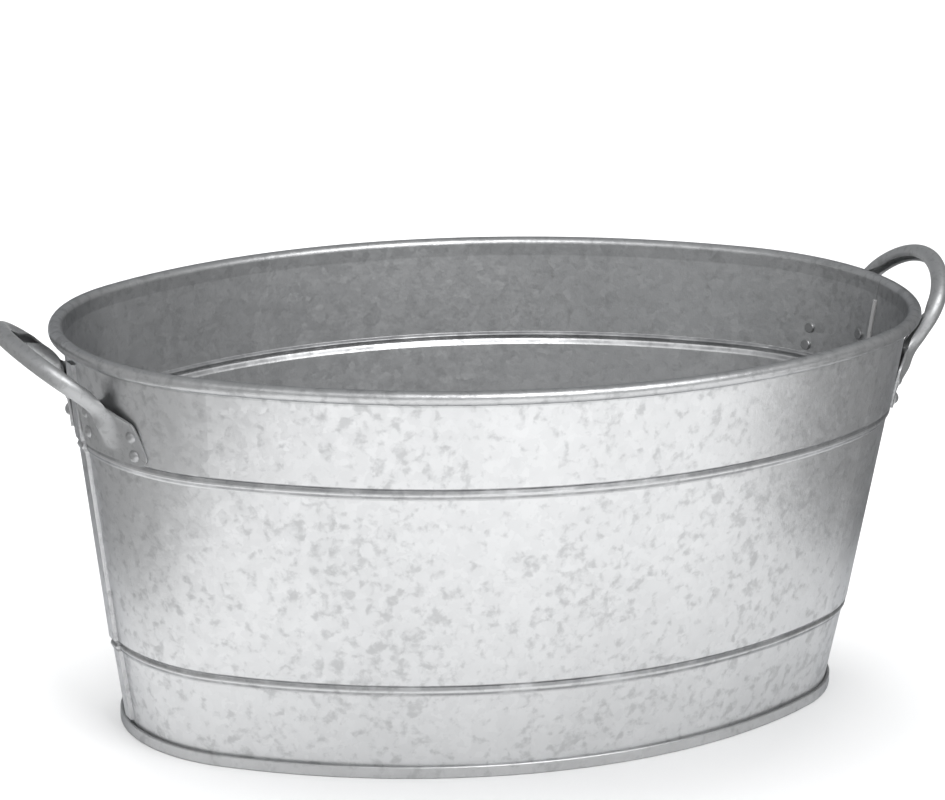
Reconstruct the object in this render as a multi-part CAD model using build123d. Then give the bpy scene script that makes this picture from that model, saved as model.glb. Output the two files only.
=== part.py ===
"""Oval galvanised steel ice bucket with two riveted end handles.

Millimetres, +Z up. The bucket stands on the floor at Z = 0 and its long
axis runs along X. The origin is under the middle of the whole object,
handles included.

The body is sheet steel: two identical half shells are joined by lock
seams, their top edge is curled round a wire, and their lower edge is held
in a double seam with the bottom pan. In plan the wall is an oval of four
arcs. All its levels are parallel to each other, so one sheet profile,
turned about the four arc centres, makes every ring of the bucket.
"""
import os
from math import atan, atan2, cos, degrees, radians, sin, sqrt

from build123d import *

# --- Driving dimensions -------------------------------------------------
RIM_LENGTH = 472.0        # along X, between the rim wire's centrelines
RIM_WIDTH = 307.0         # along Y, between the rim wire's centrelines
RIM_HEIGHT = 215.0        # rim wire's centre above the floor
END_RADIUS = 115.0        # plan radius of each end, at the rim wire
SHEET = 0.6               # thickness of the body sheet
LAYER_GAP = 0.12          # play between folded layers
WIRE_RADIUS = 3.0         # wire inside the rim

# Inset of the wall's middle surface from the rim wire, and where it is.
UPPER_BEAD_TOP = 165.0
UPPER_BEAD_INSET = 9.6
LOWER_BEAD_TOP = 53.9
LOWER_BEAD_INSET = 27.6
BEAD_HEIGHT = 6.8         # from a bead's top edge to its bottom edge
BEAD_STEP = 2.4           # how far the wall steps in over one bead
BEAD_GROOVE = 1.56        # depth of the groove at the bead's top
BEAD_GROOVE_DROP = 1.36
BEAD_ROLL = 0.9           # how far the roll under the groove stands out of it
BEAD_ROLL_DROP = 3.74
FOLD_RADIUS = 0.62        # bend radius of beads and folds, on the middle surface

# Double seam between the wall and the bottom pan.
SEAM_HEIGHT = 6.4
SEAM_OUTER_INSET = 34.5   # outer face of the foot ring, from the rim wire
FLOOR_HEIGHT = 7.0        # middle surface of the bottom pan
PAN_CORNER_RUN = 6.0      # flat floor that is turned with the pan's rim
PAN_HOOK_LOW = 2.3        # lower edge of the pan's hook, inside the seam
WALL_FOOT_LOW = 1.0       # bottom of the wall's fold, on the pan's foot
WALL_FOOT_CLEAR = 0.3     # the wall turns upright this far above the seam
WALL_HOOK_CLEAR = 1.3     # the wall's hook ends this far below its top

# Lock seams: one at each end of the bucket, a little off its long axis.
LOCK_OFFSET = 5.5         # seam's middle from the long axis
LOCK_WIDTH = 8.0
LOCK_BOTTOM = 9.0
LOCK_TOP = 206.0
LOCK_PLAY = 0.2           # play at the seam's folded edges

# Handles: a rolled strip with a flat ear at each foot.
HANDLE_SHEET = 1.2
GRIP_RADIUS = 4.65        # outside radius of the rolled grip
GRIP_GAP_ANGLE = 70.0     # open slit of the roll, inside the loop
LOOP_HALF_WIDTH = 40.6    # leg centreline from the bucket's long axis
LOOP_HEIGHT = 49.4        # from the leg's root to the top of the loop
LEG_LENGTH = 17.0         # straight run of each leg
LOOP_CORNER_RADIUS = 26.0
HANDLE_ROOT_HEIGHT = 192.3
LEFT_TILT = 36.0          # degrees above the floor; each handle is set by hand
RIGHT_TILT = 55.0
EAR_INNER = 12.5          # the ear's two ends, from the long axis
EAR_OUTER = 64.0
EAR_BOTTOM = 164.8
EAR_SHOULDER = 195.5      # top of the ear at the leg
EAR_INNER_TOP = 190.0
EAR_OUTER_TOP = 188.5
EAR_END_TAPER = 6.0       # how far the ear's outer end leans in at its top
EAR_CORNER = 6.0

# Where a leg flattens into its ear: height of the section, its half width,
# its half depth and how far it stands off the wall.
FOOT_SECTION = (172.0, 11.0, 1.1, 1.25)
THROAT_SECTION = (182.5, 8.6, 2.6, 2.75)

# Rivets: four in each ear, as (distance from the long axis, height).
RIVET_PLACES = {"upper_outer": (55.0, 179.5), "lower_outer": (55.5, 169.5),
                "upper_inner": (20.0, 184.0), "lower_inner": (20.5, 173.5)}
RIVET_RADIUS = 2.0
RIVET_HEAD_RADIUS = 3.3
RIVET_HEAD_HEIGHT = 1.9
RIVET_TAIL_RADIUS = 3.0
RIVET_TAIL_HEIGHT = 1.2
RIVET_TAIL_CHAMFER = 0.4
RIVET_BITE = 0.2          # how far the shank runs into its head and tail
RIVET_PLAY = 0.05
HEAD_PLAY = 0.02          # under the rivet's head
DRILL_LENGTH = 12.0

# Sealant inside the joints, which keeps the melt water in.
SEALANT_WIDTH = 3.0
SEALANT_DEPTH = 0.8
SEALANT_TOE = 4.0         # how far the bottom bead reaches in over the floor
SEALANT_RISE = 3.4        # how far it climbs the wall
SEALANT_LEAN = 0.45       # how far it follows the wall outwards

# --- Plan of the oval ---------------------------------------------------
HALF_LENGTH = RIM_LENGTH / 2
HALF_WIDTH = RIM_WIDTH / 2
END_CENTRE = HALF_LENGTH - END_RADIUS
SIDE_RADIUS = ((HALF_LENGTH**2 - 2 * HALF_LENGTH * END_RADIUS + HALF_WIDTH**2)
               / (2 * (HALF_WIDTH - END_RADIUS)))
SIDE_CENTRE = SIDE_RADIUS - HALF_WIDTH
END_ANGLE = degrees(atan2(SIDE_CENTRE, END_CENTRE))

# One arc of the plan: centre x, centre y, radius, first and last heading.
# A heading is the direction that the wall faces, in degrees from +X.
ARCS = [(END_CENTRE, 0.0, END_RADIUS, -END_ANGLE, END_ANGLE),
        (0.0, -SIDE_CENTRE, SIDE_RADIUS, END_ANGLE, 180 - END_ANGLE),
        (-END_CENTRE, 0.0, END_RADIUS, 180 - END_ANGLE, 180 + END_ANGLE),
        (0.0, SIDE_CENTRE, SIDE_RADIUS, 180 + END_ANGLE, 360 - END_ANGLE),
        (END_CENTRE, 0.0, END_RADIUS, 360 - END_ANGLE, 360 + END_ANGLE)]

# --- Sheet profile ------------------------------------------------------
LAYER = SHEET + LAYER_GAP
CURL_RADIUS = WIRE_RADIUS + LAYER_GAP + SHEET / 2
CURL_LEAN = degrees(atan((UPPER_BEAD_INSET - CURL_RADIUS)
                         / (RIM_HEIGHT - UPPER_BEAD_TOP)))
CURL_END = -130.0         # where the curl stops, under the wire
PAN_OUTER_INSET = SEAM_OUTER_INSET + SHEET / 2
WALL_HOOK_INSET = PAN_OUTER_INSET + LAYER
PAN_HOOK_INSET = PAN_OUTER_INSET + 2 * LAYER
WALL_FOOT_INSET = PAN_OUTER_INSET + 3 * LAYER
PAN_INNER_INSET = PAN_OUTER_INSET + 4 * LAYER


def ribbon(path, thickness=SHEET):
    """Section of a sheet with square edges, from its middle surface's path."""
    near, far = (offset(path, thickness / 2, side=side, kind=Kind.ARC, closed=False).wire()
                 for side in (Side.LEFT, Side.RIGHT))
    closing = [Line(near @ share, far @ (1 - share)) for share in (0, 1)]
    return make_face([*near.edges(), *far.edges(), *closing])


def bead_points(top, inset):
    """Middle surface of one bead from its top edge down: groove, then roll."""
    groove = -inset - BEAD_GROOVE
    return [(-inset, top),
            (groove, top - BEAD_GROOVE_DROP),
            (groove + BEAD_ROLL, top - BEAD_ROLL_DROP),
            (-inset - BEAD_STEP, top - BEAD_HEIGHT)]


def wall_points():
    """Middle surface of the wall between its two end folds, from the top down."""
    return (bead_points(UPPER_BEAD_TOP, UPPER_BEAD_INSET)
            + bead_points(LOWER_BEAD_TOP, LOWER_BEAD_INSET))


def wall_inset(height):
    """Inset of the upper wall's middle surface, between the bead and the rim."""
    share = (height - UPPER_BEAD_TOP) / (RIM_HEIGHT - UPPER_BEAD_TOP)
    return UPPER_BEAD_INSET + share * (CURL_RADIUS - UPPER_BEAD_INSET)


def wall_section():
    """Whole sheet profile: rim curl, wall with two beads, and foot hook."""
    centre = (0, RIM_HEIGHT)
    start = 180 - CURL_LEAN
    curl = CenterArc(centre, CURL_RADIUS, start, CURL_END - start)
    curl_foot = (CURL_RADIUS * cos(radians(start)),
                 RIM_HEIGHT + CURL_RADIUS * sin(radians(start)))
    wall = FilletPolyline(curl_foot, *wall_points(),
                          (-WALL_FOOT_INSET, SEAM_HEIGHT + WALL_FOOT_CLEAR),
                          (-WALL_FOOT_INSET, WALL_FOOT_LOW),
                          (-WALL_HOOK_INSET, WALL_FOOT_LOW),
                          (-WALL_HOOK_INSET, SEAM_HEIGHT - WALL_HOOK_CLEAR),
                          radius=FOLD_RADIUS)
    return ribbon(Wire([*curl.edges(), *wall.edges()]))


def wall_radius(height):
    """Plan radius of the upper wall's outer face, at the bucket's ends."""
    return END_RADIUS - wall_inset(height) + SHEET / 2


def pan_section():
    """Rim of the bottom pan: countersunk wall, foot and outer hook."""
    path = FilletPolyline((-PAN_INNER_INSET - PAN_CORNER_RUN, FLOOR_HEIGHT),
                          (-PAN_INNER_INSET, FLOOR_HEIGHT),
                          (-PAN_INNER_INSET, SHEET / 2),
                          (-PAN_OUTER_INSET, SHEET / 2),
                          (-PAN_OUTER_INSET, SEAM_HEIGHT - SHEET / 2),
                          (-PAN_HOOK_INSET, SEAM_HEIGHT - SHEET / 2),
                          (-PAN_HOOK_INSET, PAN_HOOK_LOW),
                          radius=FOLD_RADIUS)
    return ribbon(path)


def level_band(bottom, top, inner, outer):
    """Section between two heights that follows the wall's profile.

    inner and outer are distances out from the wall's middle surface.
    """
    start = top + CURL_RADIUS
    line = [(-wall_inset(start), start), *wall_points(),
            (-WALL_FOOT_INSET, SEAM_HEIGHT + WALL_FOOT_CLEAR)]
    path = FilletPolyline(*line, radius=FOLD_RADIUS)
    near = path.moved(Location((inner, 0, 0)))
    far = path.moved(Location((outer, 0, 0)))
    closing = [Line(near @ 0, far @ 0), Line(near @ 1, far @ 1)]
    face = make_face([*near.edges(), *far.edges(), *closing])
    window = Pos(0, (bottom + top) / 2) * Rectangle(RIM_WIDTH, top - bottom)
    return face & window


def upper_band(bottom, top, inner, outer):
    """Section that lies against the straight wall above the upper bead."""
    low, high = -wall_inset(bottom), -wall_inset(top)
    return make_face(Polyline((low + inner, bottom), (low + outer, bottom),
                              (high + outer, top), (high + inner, top), close=True))


def turned(section, start, end):
    """Turn a section round the oval, between two headings in degrees."""
    pieces = []
    for centre_x, centre_y, radius, first, last in ARCS:
        low, high = max(first, start), min(last, end)
        if high - low < 1e-6:
            continue
        across, along = cos(radians(low)), sin(radians(low))
        plane = Plane(origin=(centre_x + radius * across, centre_y + radius * along, 0),
                      x_dir=(across, along, 0), z_dir=(along, -across, 0))
        axis = Axis((centre_x, centre_y, 0), (0, 0, 1))
        pieces.append(revolve(plane * section, axis, high - low))
    return pieces[0].fuse(*pieces[1:]) if len(pieces) > 1 else pieces[0]


def full_ring(section):
    """Turn a section all the way round the oval."""
    first, *others = [turned(section, arc[3], arc[4]) for arc in ARCS[:4]]
    return first.fuse(*others)


def half_turn(shape):
    """Carry a shape from one end of the bucket to the other."""
    return shape.rotate(Axis.Z, 180)


# --- Half shells and their lock seams -----------------------------------
def slab(low, high):
    """Block that holds a range of Y at the +X end of the bucket."""
    block = Box(RIM_HEIGHT, high - low, 2 * RIM_HEIGHT)
    return Pos(HALF_LENGTH, (low + high) / 2, RIM_HEIGHT / 2) * block


def lock_strip(inner, outer, low, high):
    """Strip of sheet at the +X end, between two distances from the long axis."""
    band = level_band(LOCK_BOTTOM, LOCK_TOP, inner, outer)
    return turned(band, -10, 20) & slab(low, high)


def lock_layer(number, low, high):
    """One flat layer of the lock seam; layer 0 is the wall itself."""
    middle = number * LAYER
    return lock_strip(middle - SHEET / 2, middle + SHEET / 2, low, high)


def lock_fold(first, last, low, high):
    """Folded edge that joins two layers of the lock seam."""
    return lock_strip(first * LAYER, last * LAYER, low, high)


def inner_hook():
    """Seam half that starts from the wall and folds back outside it."""
    low, high = LOCK_OFFSET - LOCK_WIDTH / 2, LOCK_OFFSET + LOCK_WIDTH / 2
    return lock_fold(0, 2, high - SHEET, high).fuse(
        lock_layer(2, low + SHEET + LOCK_PLAY, high))


def outer_hook():
    """Seam half that steps out over the seam and folds back under itself."""
    low, high = LOCK_OFFSET - LOCK_WIDTH / 2, LOCK_OFFSET + LOCK_WIDTH / 2
    step = high + LOCK_PLAY
    return lock_layer(3, low, step + SHEET).fuse(
        lock_fold(0, 3, step, step + SHEET),
        lock_fold(1, 3, low, low + SHEET),
        lock_layer(1, low, high - SHEET - LOCK_PLAY))


def half_shell():
    """Half of the wall on the +Y side, with a hook at each end."""
    edge = LOCK_OFFSET + LOCK_WIDTH / 2
    shell = turned(wall_section(), 2, 192)
    shell -= slab(-60, edge + LOCK_PLAY)
    shell -= half_turn(slab(edge, 60))
    shell = shell.fuse(outer_hook(), half_turn(inner_hook()))
    for drill in rivet_drills(1, 1) + rivet_drills(-1, 1):
        shell -= drill
    return shell


def side_seam_sealant():
    """Bead of sealant inside the lock seam at the +X end."""
    middle = LOCK_OFFSET + LOCK_WIDTH / 2
    outer = -SHEET / 2 - LAYER_GAP
    band = level_band(LOCK_BOTTOM + 4, LOCK_TOP, outer - SEALANT_DEPTH, outer)
    return turned(band, -10, 20) & slab(middle - SEALANT_WIDTH / 2,
                                        middle + SEALANT_WIDTH / 2)


# --- Rim wire and bottom ------------------------------------------------
def rim_wire():
    """Closed wire hoop inside the rim curl."""
    return full_ring(Pos(0, RIM_HEIGHT) * Circle(WIRE_RADIUS))


def oval_face(inset):
    """Flat oval inside the rim's plan, at a constant inset."""
    edges = [CenterArc((arc[0], arc[1]), arc[2] - inset, arc[3], arc[4] - arc[3])
             for arc in ARCS[:4]]
    return make_face(edges)


def bottom_pan():
    """Pressed bottom: a flat floor whose rim is folded into the double seam."""
    floor = Pos(0, 0, FLOOR_HEIGHT - SHEET / 2) * extrude(
        oval_face(PAN_INNER_INSET + PAN_CORNER_RUN / 2), SHEET)
    return floor.fuse(full_ring(pan_section()))


def bottom_seam_sealant():
    """Bead of sealant in the corner between the pan and the wall."""
    corner_inset = WALL_FOOT_INSET + SHEET / 2 + LAYER_GAP
    floor = FLOOR_HEIGHT + SHEET / 2 + LAYER_GAP
    outline = Polyline((-corner_inset, floor),
                       (-corner_inset - SEALANT_TOE, floor),
                       (-corner_inset - SEALANT_TOE / 4, floor + 0.4 * SEALANT_RISE),
                       (-corner_inset + SEALANT_LEAN, floor + SEALANT_RISE), close=True)
    return full_ring(make_face(outline))


# --- Handles ------------------------------------------------------------
def handle_root_x():
    """Where a leg's centreline starts, just outside the wall."""
    reach = sqrt(wall_radius(HANDLE_ROOT_HEIGHT)**2 - LOOP_HALF_WIDTH**2)
    return END_CENTRE + reach + GRIP_RADIUS


def handle_reach(tilt):
    """Distance from the bucket's middle to the outside of a handle."""
    return handle_root_x() + LOOP_HEIGHT * cos(radians(tilt)) + GRIP_RADIUS


def loop_plane(tilt):
    """Plane of the loop: its x runs along Y and its y up the legs."""
    lean = radians(tilt)
    return Plane(origin=(handle_root_x(), 0, HANDLE_ROOT_HEIGHT),
                 x_dir=(0, 1, 0), z_dir=(sin(lean), 0, -cos(lean)))


def loop_path():
    """Centreline of the grip: two legs under a three-centred arch."""
    rise = LOOP_HEIGHT - LEG_LENGTH
    half, corner = LOOP_HALF_WIDTH, LOOP_CORNER_RADIUS
    crown = (half**2 + rise**2 - 2 * half * corner) / (2 * (rise - corner))
    crown_centre = LOOP_HEIGHT - crown
    meeting = degrees(atan2(LEG_LENGTH - crown_centre, corner - half))
    legs = [Line((-half, 0), (-half, LEG_LENGTH)), Line((half, LEG_LENGTH), (half, 0))]
    arch = [CenterArc((corner - half, LEG_LENGTH), corner, 180, meeting - 180),
            CenterArc((0, crown_centre), crown, meeting, 180 - 2 * meeting),
            CenterArc((half - corner, LEG_LENGTH), corner, 180 - meeting, meeting - 180)]
    return Wire([*legs[0].edges(), *[arc.edge() for arc in arch], *legs[1].edges()])


def rolled_section():
    """Section of the rolled grip, with its slit facing the other leg."""
    roll = Circle(GRIP_RADIUS) - Circle(GRIP_RADIUS - HANDLE_SHEET)
    half_gap = radians(GRIP_GAP_ANGLE / 2)
    far = 2 * GRIP_RADIUS
    slit = make_face(Polyline((0, 0), (far * cos(half_gap), -far * sin(half_gap)),
                              (far * cos(half_gap), far * sin(half_gap)), close=True))
    return roll - slit


def grip(tilt):
    """Rolled grip between the two roots."""
    plane = loop_plane(tilt)
    lean = radians(tilt)
    start = Plane(origin=plane.from_local_coords((-LOOP_HALF_WIDTH, 0, 0)),
                  x_dir=(0, 1, 0), z_dir=(cos(lean), 0, sin(lean)))
    return sweep(start * rolled_section(), path=plane * loop_path())


def ear(side):
    """Flat ear that lies on the wall and takes the rivets."""
    inner = SHEET / 2 + LAYER_GAP
    band = upper_band(EAR_BOTTOM - EAR_CORNER, EAR_SHOULDER + EAR_CORNER, inner, inner + HANDLE_SHEET)
    leg_inner = LOOP_HALF_WIDTH - GRIP_RADIUS
    leg_outer = LOOP_HALF_WIDTH + GRIP_RADIUS
    corners = FilletPolyline((EAR_INNER, EAR_BOTTOM), (EAR_OUTER, EAR_BOTTOM),
                             (EAR_OUTER - EAR_END_TAPER, EAR_OUTER_TOP),
                             (leg_outer, EAR_SHOULDER), (leg_inner, EAR_SHOULDER),
                             (EAR_INNER, EAR_INNER_TOP),
                             radius=EAR_CORNER, close=True)
    outline = Plane.YZ * make_face(corners)
    prism = Pos(END_CENTRE, 0, 0) * extrude(outline, END_RADIUS)
    plate = turned(band, 0, 45) & prism
    return plate if side > 0 else plate.mirror(Plane.XZ)


def leg_foot(side, tilt):
    """Throat where a rolled leg flattens out into its ear."""
    lean = radians(tilt)
    rise = radians(CURL_LEAN)
    sections = []
    for height, half_width, half_depth, stand in (FOOT_SECTION, THROAT_SECTION):
        ear_radius = wall_radius(height) + LAYER_GAP + HANDLE_SHEET / 2
        heading = side * atan2(LOOP_HALF_WIDTH, sqrt(ear_radius**2 - LOOP_HALF_WIDTH**2))
        reach = ear_radius + stand - HANDLE_SHEET / 2
        plane = Plane(origin=(END_CENTRE + reach * cos(heading), reach * sin(heading), height),
                      x_dir=(-sin(heading), cos(heading), 0),
                      z_dir=(sin(rise) * cos(heading), sin(rise) * sin(heading), cos(rise)))
        sections.append(plane * Ellipse(half_width, half_depth))
    root = Plane(origin=(handle_root_x(), side * LOOP_HALF_WIDTH, HANDLE_ROOT_HEIGHT),
                 x_dir=(0, 1, 0), z_dir=(cos(lean), 0, sin(lean)))
    sections.append(root * Circle(GRIP_RADIUS))
    flat, throat, round_end = sections
    return loft([flat, throat]).fuse(loft([throat, round_end]))


def handle(tilt):
    """Whole handle at the +X end of the bucket."""
    body = grip(tilt)
    for side in (-1, 1):
        body = body.fuse(ear(side), leg_foot(side, tilt))
    for side in (-1, 1):
        for drill in rivet_drills(1, side):
            body -= drill
    return body


# --- Rivets -------------------------------------------------------------
def rivet_plane(side, distance, height):
    """Plane on the wall's middle surface at the +X end, facing out of the wall."""
    rise = radians(CURL_LEAN)
    reach = END_RADIUS - wall_inset(height)
    heading = atan2(distance, sqrt(reach**2 - distance**2)) * side
    across, along = cos(heading), sin(heading)
    return Plane(origin=(END_CENTRE + reach * across, reach * along, height),
                 x_dir=(-along, across, 0),
                 z_dir=(cos(rise) * across, cos(rise) * along, -sin(rise)))


def rivet():
    """Domed rivet along +Z, with Z = 0 at the wall's middle surface."""
    ear_face = SHEET / 2 + LAYER_GAP + HANDLE_SHEET + HEAD_PLAY
    tail_face = -SHEET / 2 - LAYER_GAP
    shank = Pos(0, 0, (ear_face + tail_face) / 2) * Cylinder(
        RIVET_RADIUS, ear_face - tail_face + 2 * RIVET_BITE)
    dome_radius = ((RIVET_HEAD_RADIUS**2 + RIVET_HEAD_HEIGHT**2)
                   / (2 * RIVET_HEAD_HEIGHT))
    dome = Pos(0, 0, ear_face + RIVET_HEAD_HEIGHT - dome_radius) * Sphere(dome_radius)
    above = Pos(0, 0, ear_face + dome_radius) * Box(
        4 * dome_radius, 4 * dome_radius, 2 * dome_radius)
    tail = Pos(0, 0, tail_face - RIVET_TAIL_HEIGHT / 2) * Cylinder(
        RIVET_TAIL_RADIUS, RIVET_TAIL_HEIGHT)
    tail = chamfer(tail.edges().sort_by(Axis.Z)[0], RIVET_TAIL_CHAMFER)
    return shank.fuse(dome & above, tail)


def rivet_drills(end, side):
    """Drills for the four rivets of one ear; end and side are +1 or -1."""
    drills = []
    for distance, height in RIVET_PLACES.values():
        plane = rivet_plane(side * end, distance, height)
        drill = plane * Cylinder(RIVET_RADIUS + RIVET_PLAY, DRILL_LENGTH)
        drills.append(drill if end > 0 else half_turn(drill))
    return drills


# --- The whole bucket ---------------------------------------------------
def build_parts():
    """Every sub-part by name, about the middle of the bucket itself."""
    back = half_shell()
    sealant = side_seam_sealant()
    parts = {"wall_back_panel": back,
             "wall_front_panel": half_turn(back),
             "rim_wire": rim_wire(),
             "bottom_pan": bottom_pan(),
             "bottom_seam_sealant": bottom_seam_sealant(),
             "side_seam_sealant_right": sealant,
             "side_seam_sealant_left": half_turn(sealant),
             "handle_right": handle(RIGHT_TILT),
             "handle_left": half_turn(handle(LEFT_TILT))}
    for end, end_name in ((1, "right"), (-1, "left")):
        for side, side_name in ((1, "back"), (-1, "front")):
            for place, (distance, height) in RIVET_PLACES.items():
                placed = rivet_plane(side * end, distance, height) * rivet()
                name = f"rivet_{end_name}_{side_name}_{place}"
                parts[name] = placed if end > 0 else half_turn(placed)
    return parts


def main():
    """Centre the object on its origin and write one file per sub-part."""
    os.makedirs("parts", exist_ok=True)
    shift = (handle_reach(LEFT_TILT) - handle_reach(RIGHT_TILT)) / 2
    for name, shape in build_parts().items():
        solid, *spare = shape.solids()
        assert not spare, f"{name} is more than one solid"
        export_step(Pos(shift, 0, 0) * solid, f"parts/{name}.step")


main()
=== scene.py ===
"""Galvanised steel ice bucket: materials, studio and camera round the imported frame.

Metres, +Z up. The bucket stands on the floor with its long axis along X.
"""
from math import atan, atan2, cos, radians, sin, sqrt

import bpy
from mathutils import Matrix, Vector


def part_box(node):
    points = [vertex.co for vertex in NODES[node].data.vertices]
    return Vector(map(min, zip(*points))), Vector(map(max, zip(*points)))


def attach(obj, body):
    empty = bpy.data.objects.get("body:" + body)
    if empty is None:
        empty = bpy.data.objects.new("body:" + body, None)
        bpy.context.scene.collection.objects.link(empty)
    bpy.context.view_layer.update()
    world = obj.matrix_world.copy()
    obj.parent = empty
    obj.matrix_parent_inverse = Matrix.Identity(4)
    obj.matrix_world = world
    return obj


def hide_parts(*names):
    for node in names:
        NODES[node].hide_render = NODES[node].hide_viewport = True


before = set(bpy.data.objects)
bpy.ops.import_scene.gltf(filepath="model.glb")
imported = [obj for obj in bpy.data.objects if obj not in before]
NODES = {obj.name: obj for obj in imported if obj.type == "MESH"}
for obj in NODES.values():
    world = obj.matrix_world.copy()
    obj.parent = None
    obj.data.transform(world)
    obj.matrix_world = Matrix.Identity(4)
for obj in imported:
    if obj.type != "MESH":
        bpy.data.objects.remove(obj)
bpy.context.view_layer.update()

pan_low, pan_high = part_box("bottom_pan")
TUB_CENTRE = Vector(((pan_low.x + pan_high.x) / 2, (pan_low.y + pan_high.y) / 2, 0.0))


# --- Camera ---------------------------------------------------------------
CAMERA_AZIMUTH = radians(-20.4)
CAMERA_ELEVATION = radians(16.30)
CAMERA_ROLL = radians(1.73)
CAMERA_DISTANCE = 2.0802
CAMERA_SLIDE = (-0.0050, 0.1608)     # sideways and upwards, in the picture's plane
CAMERA_LENS = 144.33
SENSOR_WIDTH = 36.0


def make_camera():
    """The camera at the viewing angle of the picture."""
    flat = cos(CAMERA_ELEVATION)
    back = Vector((sin(CAMERA_AZIMUTH) * flat, -cos(CAMERA_AZIMUTH) * flat, sin(CAMERA_ELEVATION)))
    level = (-back).cross(Vector((0, 0, 1))).normalized()
    upright = level.cross(-back)
    across = cos(CAMERA_ROLL) * level + sin(CAMERA_ROLL) * upright
    upward = cos(CAMERA_ROLL) * upright - sin(CAMERA_ROLL) * level
    data = bpy.data.cameras.new("camera")
    data.lens = CAMERA_LENS
    data.sensor_width = SENSOR_WIDTH
    data.clip_start = 0.05
    data.clip_end = 60.0
    camera = bpy.data.objects.new("camera", data)
    turn = Matrix((across, upward, back)).transposed().to_4x4()
    place = (TUB_CENTRE + back * CAMERA_DISTANCE
             + across * CAMERA_SLIDE[0] + upward * CAMERA_SLIDE[1])
    camera.matrix_world = Matrix.Translation(place) @ turn
    bpy.context.scene.collection.objects.link(camera)
    bpy.context.scene.camera = camera


# --- Material kit ---------------------------------------------------------
class Net:
    """Short way to write a shader's nodes and links."""

    def __init__(self, name):
        self.material = bpy.data.materials.new(name)
        self.material.use_nodes = True
        self.tree = self.material.node_tree
        self.shader = self.tree.nodes["Principled BSDF"]
        place = self.tree.nodes.new("ShaderNodeTexCoord")
        self.place = place.outputs["Object"]

    def put(self, socket, value):
        """Feed a socket from another socket, or set it to a value."""
        if isinstance(value, bpy.types.NodeSocket):
            self.tree.links.new(value, socket)
        else:
            socket.default_value = value

    def node(self, kind, inputs, **settings):
        """A new node with its settings and its inputs, by name or number."""
        made = self.tree.nodes.new(kind)
        for name, value in settings.items():
            setattr(made, name, value)
        for name, value in inputs.items():
            self.put(made.inputs[name], value)
        return made

    def math(self, operation, a, b=0.0, clamp=False):
        made = self.node("ShaderNodeMath", {0: a, 1: b}, operation=operation, use_clamp=clamp)
        return made.outputs[0]

    def vector(self, operation, a, b):
        made = self.node("ShaderNodeVectorMath", {0: a, 1: b}, operation=operation)
        return made.outputs["Value" if operation == "DOT_PRODUCT" else "Vector"]

    def stretch(self, factors, source=None):
        """The place, scaled along each axis."""
        made = self.node("ShaderNodeMapping", {"Vector": source or self.place, "Scale": factors})
        return made.outputs["Vector"]

    def noise(self, scale, detail=2.0, rough=0.5, at=None, warp=0.0, output="Fac"):
        made = self.node("ShaderNodeTexNoise", {
            "Vector": at or self.place, "Scale": scale, "Detail": detail,
            "Roughness": rough, "Distortion": warp})
        return made.outputs[output]

    def steps(self, value, low, high, to_low=0.0, to_high=1.0):
        """A smooth step of a value from one range to another."""
        made = self.node("ShaderNodeMapRange", {
            "Value": value, "From Min": low, "From Max": high,
            "To Min": to_low, "To Max": to_high}, interpolation_type="SMOOTHSTEP")
        return made.outputs["Result"]

    def bands(self, ranges, soft):
        """1 inside any of the height ranges, fading to 0 over a short way."""
        height = self.node("ShaderNodeSeparateXYZ", {"Vector": self.place}).outputs["Z"]
        total = 0.0
        for low, high in ranges:
            inside = self.math("MULTIPLY", self.steps(height, low - soft, low),
                               self.steps(height, high, high + soft, 1.0, 0.0))
            total = self.math("ADD", inside, total)
        return total

    def tint(self, share, first, second):
        """A colour between two, by share."""
        made = self.node("ShaderNodeMix", {0: share, 6: first, 7: second}, data_type="RGBA")
        return made.outputs[2]

    def bump(self, height, distance, strength, under=None):
        inputs = {"Height": height, "Distance": distance, "Strength": strength}
        if under is not None:
            inputs["Normal"] = under
        return self.node("ShaderNodeBump", inputs).outputs["Normal"]


EDGE_TINT = (0.45, 0.46, 0.48, 1.0)     # metal's colour at a grazing view
# painted shade: the colour that darkens the bead grooves and the thin lines under the bead rolls
PAINTED_SHADE_COLOUR = (0.10, 0.10, 0.11, 1.0)
PAINTED_SHADE_FADE = 0.0006
RIM_FADE = 0.001
# how much painted shade darkens the rim roll's colour
RIM_SHADE_SHARE = 0.4
CRYSTAL_SWAY = 0.011                     # how far a crystal's edge strays, in metres
FACET_TILT = 0.05
SHADE_SHARE, SPOT_SHARE, STAIN_SHARE = 0.16, 0.50, 0.20
# Heights above the floor, lowest and highest
RIM_ROLL = (0.2095, 0.2300)
# heights of the painted shade lines: each bead's groove and the thin line under its roll
PAINTED_SHADE_LINES = ((0.1623, 0.1648), (0.1594, 0.1602), (0.0512, 0.0537), (0.0483, 0.0491))


def grey(value, warmth=0.0):
    """A grey with a slight blue or warm cast."""
    return (value * (1 + warmth), value, value * (1 - warmth), 1.0)


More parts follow.
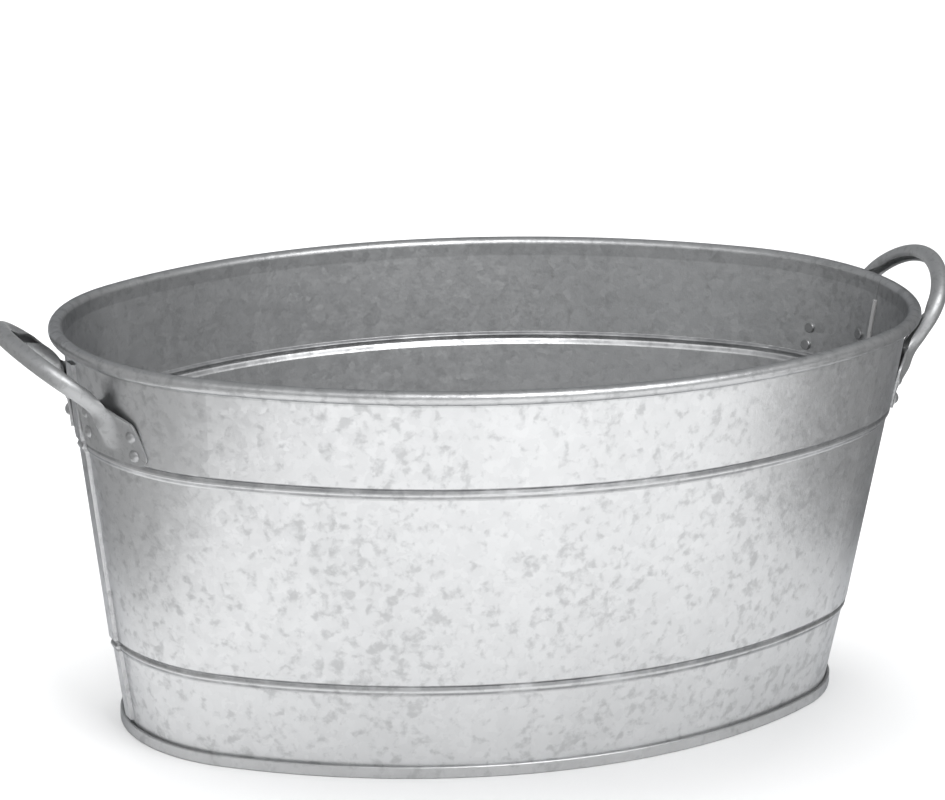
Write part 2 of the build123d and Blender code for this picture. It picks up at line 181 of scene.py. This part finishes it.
def galvanised(name, bright, dull, shine=(0.36, 0.50), spots=1.0, crystal=210.0, with_painted_shade=False):
    """Hot-dip zinc: crystals of different shade and tilt, dull spots and soft stains.

    It can also paint shade: dark colour in the bead grooves and in the thin lines under the bead
    rolls, and a darker rim roll.
    """
    net = Net(name)
    sway = net.vector("SUBTRACT", net.noise(170.0, 3.0, output="Color"), (0.5, 0.5, 0.5))
    swayed = net.node("ShaderNodeVectorMath", {0: sway, 1: (CRYSTAL_SWAY,) * 3, 2: net.place},
                      operation="MULTIPLY_ADD").outputs["Vector"]
    cells = net.node("ShaderNodeTexVoronoi", {"Vector": swayed, "Scale": crystal})
    shade = net.node("ShaderNodeSeparateColor", {"Color": cells.outputs["Color"]})
    tilt = net.vector("SUBTRACT", cells.outputs["Color"], (0.5, 0.5, 0.5))
    inside = net.vector("SUBTRACT", swayed, cells.outputs["Position"])
    facet = net.vector("DOT_PRODUCT", tilt, inside)

    spot = net.noise(165.0, 3.0, 0.55, warp=0.25)
    crowd = net.noise(15.0, 2.0, 0.5)
    edge = net.math("SUBTRACT", 0.70, net.math("MULTIPLY", crowd, 0.27))
    spot = net.steps(net.math("SUBTRACT", spot, edge), -0.07, 0.15)
    spot = net.math("MULTIPLY", spot, spots)
    stain = net.steps(net.noise(9.0, 4.0, 0.6, net.stretch((1.0, 1.0, 0.6))), 0.3, 0.72)

    share = net.math("MULTIPLY", shade.outputs["Red"], SHADE_SHARE)
    share = net.math("ADD", share, net.math("MULTIPLY", spot, SPOT_SHARE))
    share = net.math("ADD", share, net.math("MULTIPLY", stain, STAIN_SHARE), clamp=True)
    if with_painted_shade:
        # painted shade: the rim roll's colour is darkened
        rim_shade = net.math("MULTIPLY", net.bands((RIM_ROLL,), RIM_FADE), RIM_SHADE_SHARE)
        share = net.math("ADD", share, rim_shade, clamp=True)
    colour = net.tint(share, bright, dull)
    if with_painted_shade:
        # painted shade in the bead grooves and under the bead rolls, in uneven patches
        patches = net.steps(net.noise(60.0, 3.0, 0.6), 0.25, 0.6, 0.10, 0.50)
        groove_shade = net.math("MULTIPLY", net.bands(PAINTED_SHADE_LINES, PAINTED_SHADE_FADE), patches)
        colour = net.tint(groove_shade, colour, PAINTED_SHADE_COLOUR)
    net.put(net.shader.inputs["Base Color"], colour)
    net.shader.inputs["Metallic"].default_value = 1.0
    net.shader.inputs["Specular Tint"].default_value = EDGE_TINT

    low, high = shine
    rough = net.math("ADD", net.math("MULTIPLY", shade.outputs["Green"], 0.5),
                     net.math("MULTIPLY", spot, 0.5), clamp=True)
    rough = net.node("ShaderNodeMapRange", {"Value": rough, "To Min": low, "To Max": high})
    net.put(net.shader.inputs["Roughness"], rough.outputs["Result"])

    grain = net.noise(900.0, 3.0, 0.6)
    waves = net.noise(16.0, 2.0, 0.5)
    normal = net.bump(facet, 1.0, FACET_TILT)
    normal = net.bump(grain, 0.00004, 0.5, normal)
    normal = net.bump(waves, 0.0011, 0.35, normal)
    net.put(net.shader.inputs["Normal"], normal)
    return net.material


def worn_metal(name, bright, dull, shine):
    """Drawn or formed steel with cloudy dull patches, flecks and fine upright hairlines."""
    net = Net(name)
    cloud = net.noise(60.0, 4.0, 0.6)
    fleck = net.steps(net.noise(300.0, 3.0, 0.6, warp=0.4), 0.5, 0.66)
    hair = net.noise(420.0, 3.0, 0.55, net.stretch((1.0, 1.0, 0.15)))
    share = net.math("ADD", net.math("MULTIPLY", cloud, 0.6),
                     net.math("MULTIPLY", fleck, 0.35), clamp=True)
    net.put(net.shader.inputs["Base Color"], net.tint(share, bright, dull))
    net.shader.inputs["Metallic"].default_value = 1.0
    low, high = shine
    rough = net.node("ShaderNodeMapRange", {"Value": share, "To Min": low, "To Max": high})
    net.put(net.shader.inputs["Roughness"], rough.outputs["Result"])
    normal = net.bump(hair, 0.00005, 0.5)
    normal = net.bump(cloud, 0.0003, 0.3, normal)
    net.put(net.shader.inputs["Normal"], normal)
    return net.material


def sealing(name):
    """Grey elastic sealant with a slightly lumpy, dusty surface."""
    net = Net(name)
    cloud = net.noise(140.0, 4.0, 0.6)
    net.put(net.shader.inputs["Base Color"], net.tint(cloud, grey(0.34), grey(0.50)))
    rough = net.node("ShaderNodeMapRange", {"Value": cloud, "To Min": 0.5, "To Max": 0.75})
    net.put(net.shader.inputs["Roughness"], rough.outputs["Result"])
    net.put(net.shader.inputs["Normal"], net.bump(net.noise(260.0, 3.0), 0.0003, 0.5))
    return net.material


def dress(node, material):
    """Give a CAD node one material."""
    piece = NODES[node]
    piece.data.materials.clear()
    piece.data.materials.append(material)


# --- Handles --------------------------------------------------------------
END_RADIUS = 0.115          # plan radius of the bucket's ends, at the rim wire
RIM_WIRE = 0.003            # radius of the rim wire
WALL_LOW = (0.165, 0.0093)  # height and inset of the wall's outer face, at the bead
WALL_HIGH = (0.215, 0.00312)
STRIP = 0.0012              # thickness of the handle's strip
EAR_PLAY = 0.00012          # between ear and wall
ROLL = 0.00405              # radius of the rolled grip, to the middle of the strip
ROLL_OUTSIDE = 0.00465
HALF_ROLL = radians(145)    # how far the strip wraps, to each side of the roll's back
LEG_Y = 0.0406              # leg's centreline from the bucket's long axis
LEG_ROOT = 0.1923           # height where a leg becomes round
LEG_RUN = 0.017
LOOP_RISE = 0.0494
LOOP_CORNER = 0.026
RIDGE_HALF = 0.0105         # half width of the ridge where it fades into the ear
RIDGE_FOOT = 0.1695         # height where the ridge starts
NECK_ARCH = 0.85            # share of the neck where the ridge is a full arch
NECK_REACH = 0.010          # how far along the leg the neck ends
EAR_LOW = 0.1648
EAR_SHOULDER = (0.1855, 0.1965)   # heights where the ear's top edge slopes to the leg
EAR_ROUND = 0.006
EAR_SLANT = 0.25            # how fast the ear's outer end comes in, per height
EAR_Y = (0.0125, 0.064)     # the ear's two ends
RIGHT_TILT = radians(55)    # the loops' rise above the floor
LEFT_TILT = radians(36)
NECK_PULL = (0.018, 0.007)  # curve handles of the neck's wall side, at the ear and at the roll
BACK_PULL = (0.010, 0.010)  # and of its back
CRISP_EDGE = 0.0003         # bevel of the strip's edges

# How finely each stretch is cut
SECTION_POINTS = 45
FOOT_STEPS = 80
RIDGE_STEPS = 30
FLANGE_STEPS = 24
ROLL_STEPS = 40
EAR_ROWS = 8
EAR_CROWDING = 1.6          # above 1, the ear's rows crowd towards its lower edge
NECK_ROWS = 26
LEG_ROWS = 5
CORNER_ROWS = 14
CROWN_ROWS = 16
TURN_ROWS = 18              # rows in which the slit turns to the inside of the loop


def ease(share):
    """A smooth step from 0 to 1."""
    share = min(max(share, 0.0), 1.0)
    return share * share * (3 - 2 * share)


def mix(first, second, share):
    return first + (second - first) * share


class HandleShape:
    """Sections of one handle at the +X end, about the bucket's middle.

    The strip lies flat on the wall at each ear, swells into a ridge, closes
    to a roll where the leg leaves the wall, and turns its slit to the inside
    of the loop.
    """

    def __init__(self, tilt):
        rim_low, rim_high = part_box("rim_wire")
        self.centre_x = (rim_high.x - rim_low.x) / 2 - RIM_WIRE - END_RADIUS
        self.tilt = tilt
        self.along = Vector((cos(tilt), 0.0, sin(tilt)))
        self.back = Vector((sin(tilt), 0.0, -cos(tilt)))
        lean = (WALL_LOW[1] - WALL_HIGH[1]) / (WALL_HIGH[0] - WALL_LOW[0])
        self.wall_lean = atan(lean)
        self.root = Vector((self.wall_x(LEG_Y, LEG_ROOT) + ROLL_OUTSIDE, LEG_Y, LEG_ROOT))

    def wall_radius(self, height):
        share = (height - WALL_LOW[0]) / (WALL_HIGH[0] - WALL_LOW[0])
        return END_RADIUS - mix(WALL_LOW[1], WALL_HIGH[1], share)

    def wall_x(self, y, height):
        return self.centre_x + sqrt(self.wall_radius(height) ** 2 - y * y)

    def on_wall(self, y, height):
        """Middle of the flat strip on the wall, and the way out of the wall."""
        reach = self.wall_radius(height) + EAR_PLAY + STRIP / 2
        across = y / reach
        out = Vector((sqrt(1 - across * across), across, 0.0))
        place = Vector((self.centre_x, 0.0, height)) + out * reach
        out = out * cos(self.wall_lean) - Vector((0, 0, sin(self.wall_lean)))
        return place, out

    def ear_ends(self, height):
        """The two ends of the ear's outline at a height."""
        corner = max(EAR_ROUND - (height - EAR_LOW), 0.0)
        corner = EAR_ROUND - sqrt(EAR_ROUND ** 2 - corner ** 2)
        slant = EAR_SLANT * (height - EAR_LOW)
        top = ease((height - EAR_SHOULDER[0]) / (EAR_SHOULDER[1] - EAR_SHOULDER[0]))
        inner = mix(EAR_Y[0] + corner, LEG_Y, top)
        outer = mix(EAR_Y[1] - corner - slant, LEG_Y, top)
        return inner, outer

    def foot_section(self, height):
        """Flat strip below the ridge."""
        inner, outer = self.ear_ends(height)
        return [self.on_wall(mix(inner, outer, i / FOOT_STEPS), height)[0]
                for i in range(FOOT_STEPS + 1)]

    def neck_lines(self):
        """Curves of the leg's wall side and of its back, from the ear to the round roll."""
        foot, out = self.on_wall(LEG_Y, RIDGE_FOOT)
        up = Vector((sin(self.wall_lean), 0.0, cos(self.wall_lean)))
        base_end = self.root - self.back * ROLL + self.along * NECK_REACH
        back_end = base_end + self.back * 2 * ROLL
        return ((foot, foot + up * NECK_PULL[0], base_end - self.along * NECK_PULL[1], base_end),
                (foot, foot + up * BACK_PULL[0], back_end - self.along * BACK_PULL[1], back_end))

    def neck_section(self, share):
        """Ear with its ridge, from flat at 0 to the round roll at 1."""
        base, crest = (on_curve(line, share) for line in self.neck_lines())
        height = base.z
        arch = ease(share / NECK_ARCH)
        close = ease((height - EAR_SHOULDER[0]) / (self.neck_lines()[0][3].z - EAR_SHOULDER[0]))
        flat = self.on_wall(LEG_Y, height)[0]
        shift = base - flat
        roll_out = (crest - base).normalized()
        rise = (crest - base).length / 2
        swing = mix(radians(90), HALF_ROLL, close)
        spread = mix(radians(180), HALF_ROLL, close)
        inner, outer = self.ear_ends(height)
        edge_half = mix(RIDGE_HALF, ROLL * sin(swing), arch)

        def lifted(y, lift):
            place, out = self.on_wall(y, height)
            place.x = mix(place.x, flat.x, close)
            out = (out * (1 - arch) + roll_out * arch).normalized()
            return place + shift + out * lift

        ridge = []
        for i in range(-RIDGE_STEPS, RIDGE_STEPS + 1):
            part = i / RIDGE_STEPS
            side = mix(RIDGE_HALF * part, ROLL * sin(swing * part), arch)
            ridge.append(lifted(LEG_Y + side, rise * (1 + cos(spread * part))))
        edge_lift = rise * (1 + cos(spread))
        before, after = LEG_Y - edge_half - inner, outer - LEG_Y - edge_half
        parts = [i / FLANGE_STEPS for i in range(FLANGE_STEPS)]
        flange_in = [lifted(inner + before * part, edge_lift) for part in parts]
        flange_out = [lifted(outer - after * part, edge_lift) for part in reversed(parts)]
        return (flange_in if before > 0 else []) + ridge + (flange_out if after > 0 else [])

    def roll_section(self, centre, outside, turn):
        """Open roll about a centre; its back faces the way out of the loop at 90 degrees."""
        angles = [turn + HALF_ROLL * i / ROLL_STEPS for i in range(-ROLL_STEPS, ROLL_STEPS + 1)]
        return [centre + (self.back * cos(a) + outside * sin(a)) * ROLL for a in angles]

    def loop_places(self):
        """Centre and outside direction along half of the loop, from a root to its top."""
        rise = LOOP_RISE - LEG_RUN
        crown = ((LEG_Y ** 2 + rise ** 2 - 2 * LEG_Y * LOOP_CORNER)
                 / (2 * (rise - LOOP_CORNER)))
        crown_base = LOOP_RISE - crown
        meeting = atan2(LEG_RUN - crown_base, LEG_Y - LOOP_CORNER)
        side = Vector((0.0, 1.0, 0.0))
        origin = Vector((self.root.x, 0.0, self.root.z))
        run = LEG_RUN - NECK_REACH
        places = [(self.root + self.along * (NECK_REACH + run * i / LEG_ROWS), side)
                  for i in range(1, LEG_ROWS)]
        for radius, y, up, first, last, steps in (
                (LOOP_CORNER, LEG_Y - LOOP_CORNER, LEG_RUN, 0.0, meeting, CORNER_ROWS),
                (crown, 0.0, crown_base, meeting, radians(90), CROWN_ROWS)):
            for i in range(steps + (radius == crown)):
                angle = mix(first, last, i / steps)
                outside = side * cos(angle) + self.along * sin(angle)
                places.append((origin + side * y + self.along * up + outside * radius, outside))
        return places

    def sections(self):
        """All sections, from one ear's lower edge round to the other's."""
        heights = [mix(EAR_LOW, RIDGE_FOOT, (i / EAR_ROWS) ** EAR_CROWDING)
                   for i in range(EAR_ROWS)]
        half = [self.foot_section(height) for height in heights]
        half += [self.neck_section(i / NECK_ROWS) for i in range(NECK_ROWS + 1)]
        for i, (centre, outside) in enumerate(self.loop_places()):
            turn = radians(90) * ease(i / TURN_ROWS)
            half.append(self.roll_section(centre, outside, turn))
        half = [even_points(points, SECTION_POINTS) for points in half]
        other = [[Vector((p.x, -p.y, p.z)) for p in points] for points in half[-2::-1]]
        return half + other


def on_curve(line, share):
    """Point on a cubic curve."""
    a, b, c, d = line
    rest = 1 - share
    return (a * rest ** 3 + b * (3 * rest * rest * share)
            + c * (3 * rest * share * share) + d * share ** 3)


def even_points(points, count):
    """The same line with evenly spaced points."""
    lengths = [0.0]
    for first, second in zip(points, points[1:]):
        lengths.append(lengths[-1] + (second - first).length)
    made, at = [], 0
    for i in range(count):
        goal = lengths[-1] * i / (count - 1)
        while at < len(points) - 2 and lengths[at + 1] < goal:
            at += 1
        span = max(lengths[at + 1] - lengths[at], 1e-9)
        made.append(points[at].lerp(points[at + 1], (goal - lengths[at]) / span))
    return made


def finished(name, source, modifiers, sharp):
    """A new piece with the source's modifiers applied and smooth shading."""
    for kind, settings in modifiers:
        modifier = source.modifiers.new(kind.lower(), kind)
        for key, value in settings.items():
            setattr(modifier, key, value)
    bpy.context.scene.collection.objects.link(source)
    graph = bpy.context.evaluated_depsgraph_get()
    mesh = bpy.data.meshes.new_from_object(source.evaluated_get(graph))
    bpy.data.objects.remove(source)
    mesh.name = name
    mesh.shade_smooth()
    mesh.set_sharp_from_angle(angle=sharp)
    piece = bpy.data.objects.new(name, mesh)
    bpy.context.scene.collection.objects.link(piece)
    return piece


def make_handle(end_name, end, tilt, material):
    """The rolled handle of one end, with its two ears."""
    sections = HandleShape(tilt).sections()
    turn = Matrix.Rotation(0.0 if end > 0 else radians(180), 3, "Z")
    vertices = [TUB_CENTRE + turn @ point for section in sections for point in section]
    faces = []
    for row in range(len(sections) - 1):
        for i in range(SECTION_POINTS - 1):
            corner = row * SECTION_POINTS + i
            faces.append((corner, corner + 1, corner + SECTION_POINTS + 1,
                          corner + SECTION_POINTS))
    mesh = bpy.data.meshes.new("strip")
    mesh.from_pydata(vertices, [], faces)
    strip = bpy.data.objects.new("strip", mesh)
    piece = finished(f"handle_{end_name}_rolled", strip, [
        ("SOLIDIFY", {"thickness": STRIP, "offset": 0.0}),
        ("BEVEL", {"width": CRISP_EDGE, "segments": 2, "limit_method": "ANGLE",
                   "angle_limit": radians(50)})], radians(45))
    piece.data.materials.clear()
    piece.data.materials.append(material)
    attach(piece, "root")
    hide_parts(f"handle_{end_name}")


# --- Studio ---------------------------------------------------------------
FLOOR_HALF = 14.0
FLAG_HEIGHT = 0.9
SKY_COLOUR = (0.97, 0.985, 1.0, 1.0)
SKY_STRENGTH = 0.42


def area_light(name, place, aim, size, power):
    """A soft box that faces a point."""
    data = bpy.data.lights.new(name, "AREA")
    data.shape = "RECTANGLE"
    data.size, data.size_y = size
    data.energy = power
    lamp = bpy.data.objects.new(name, data)
    lamp.location = place
    lamp.rotation_euler = (Vector(aim) - Vector(place)).to_track_quat("-Z", "Y").to_euler()
    bpy.context.scene.collection.objects.link(lamp)
    return lamp


def make_floor():
    """A wide plain floor with a soft paper grain."""
    mesh = bpy.data.meshes.new("studio_floor")
    corners = [(x * FLOOR_HALF, y * FLOOR_HALF, 0) for x, y in ((-1, -1), (1, -1), (1, 1), (-1, 1))]
    mesh.from_pydata(corners, [], [(0, 1, 2, 3)])
    floor = bpy.data.objects.new("studio_floor", mesh)
    bpy.context.scene.collection.objects.link(floor)
    net = Net("studio_floor")
    net.put(net.shader.inputs["Base Color"], net.tint(net.noise(900.0), grey(0.90), grey(0.93)))
    net.shader.inputs["Roughness"].default_value = 0.9
    net.shader.inputs["Specular IOR Level"].default_value = 0.1
    floor.data.materials.append(net.material)


def flag(name, shade, front, back, lean):
    """A dark card on the floor beside the bucket, leaning out, that only reflections see."""
    corners = [(*front, 0.0), (*back, 0.0),
               (back[0] + lean, back[1], FLAG_HEIGHT), (front[0] + lean, front[1], FLAG_HEIGHT)]
    mesh = bpy.data.meshes.new(name)
    mesh.from_pydata(corners, [], [(0, 1, 2, 3)])
    card = bpy.data.objects.new(name, mesh)
    bpy.context.scene.collection.objects.link(card)
    net = Net(name)
    net.put(net.shader.inputs["Base Color"],
            net.tint(net.noise(30.0), grey(shade), grey(0.8 * shade)))
    net.shader.inputs["Roughness"].default_value = 1.0
    card.data.materials.append(net.material)
    card.visible_camera = False
    card.visible_shadow = False
    card.visible_diffuse = False


def make_studio():
    """Floor, soft boxes, dark flags at both ends and an even sky."""
    make_floor()
    area_light("key_light", (0.9, -2.2, 2.4), (0.0, 0.0, 0.05), (2.2, 1.6), 56.0)
    area_light("fill_light", (-1.6, -2.0, 2.2), (-0.4, 0.0, 0.0), (1.8, 1.6), 7.0)
    top = area_light("top_light", (-0.3, 1.2, 3.0), (-0.1, 1.0, 0.0), (4.0, 3.4), 120.0)
    top.visible_glossy = False
    flag("left_flag", 0.42, (-0.44, -0.48), (-0.26, 0.40), -0.53)
    flag("right_flag", 0.26, (0.365, -0.26), (0.365, 1.5), 0.57)
    world = bpy.data.worlds.new("studio_sky")
    world.use_nodes = True
    sky = world.node_tree.nodes["Background"]
    sky.inputs["Color"].default_value = SKY_COLOUR
    sky.inputs["Strength"].default_value = SKY_STRENGTH
    bpy.context.scene.world = world
    bpy.context.scene.view_settings.view_transform = "Standard"


# --- The bucket -----------------------------------------------------------
make_camera()
make_studio()

# the body also carries painted shade in its bead grooves and on its rim roll
BODY = galvanised("body_zinc", grey(0.72, -0.006), grey(0.46, -0.01), with_painted_shade=True)
PAN = galvanised("pan_zinc", grey(0.58, -0.006), grey(0.38, -0.01), spots=0.8, crystal=180.0)
HANDLE = worn_metal("handle_steel", grey(0.56, -0.01), grey(0.38, -0.01), (0.44, 0.58))
WIRE = worn_metal("wire_steel", grey(0.60), grey(0.44), (0.32, 0.46))
RIVET = worn_metal("rivet_steel", grey(0.50, -0.01), grey(0.32, -0.01), (0.36, 0.52))
SEALANT = sealing("seam_sealant")

for node in NODES:
    if node.startswith("wall"):
        dress(node, BODY)
    elif node.startswith("rivet"):
        dress(node, RIVET)
    elif node.startswith("handle"):
        dress(node, HANDLE)
    elif node.endswith("pan"):
        dress(node, PAN)
    elif node.endswith("wire"):
        dress(node, WIRE)
    else:
        dress(node, SEALANT)

make_handle("right", 1, RIGHT_TILT, HANDLE)
make_handle("left", -1, LEFT_TILT, HANDLE)

bpy.context.view_layer.update()
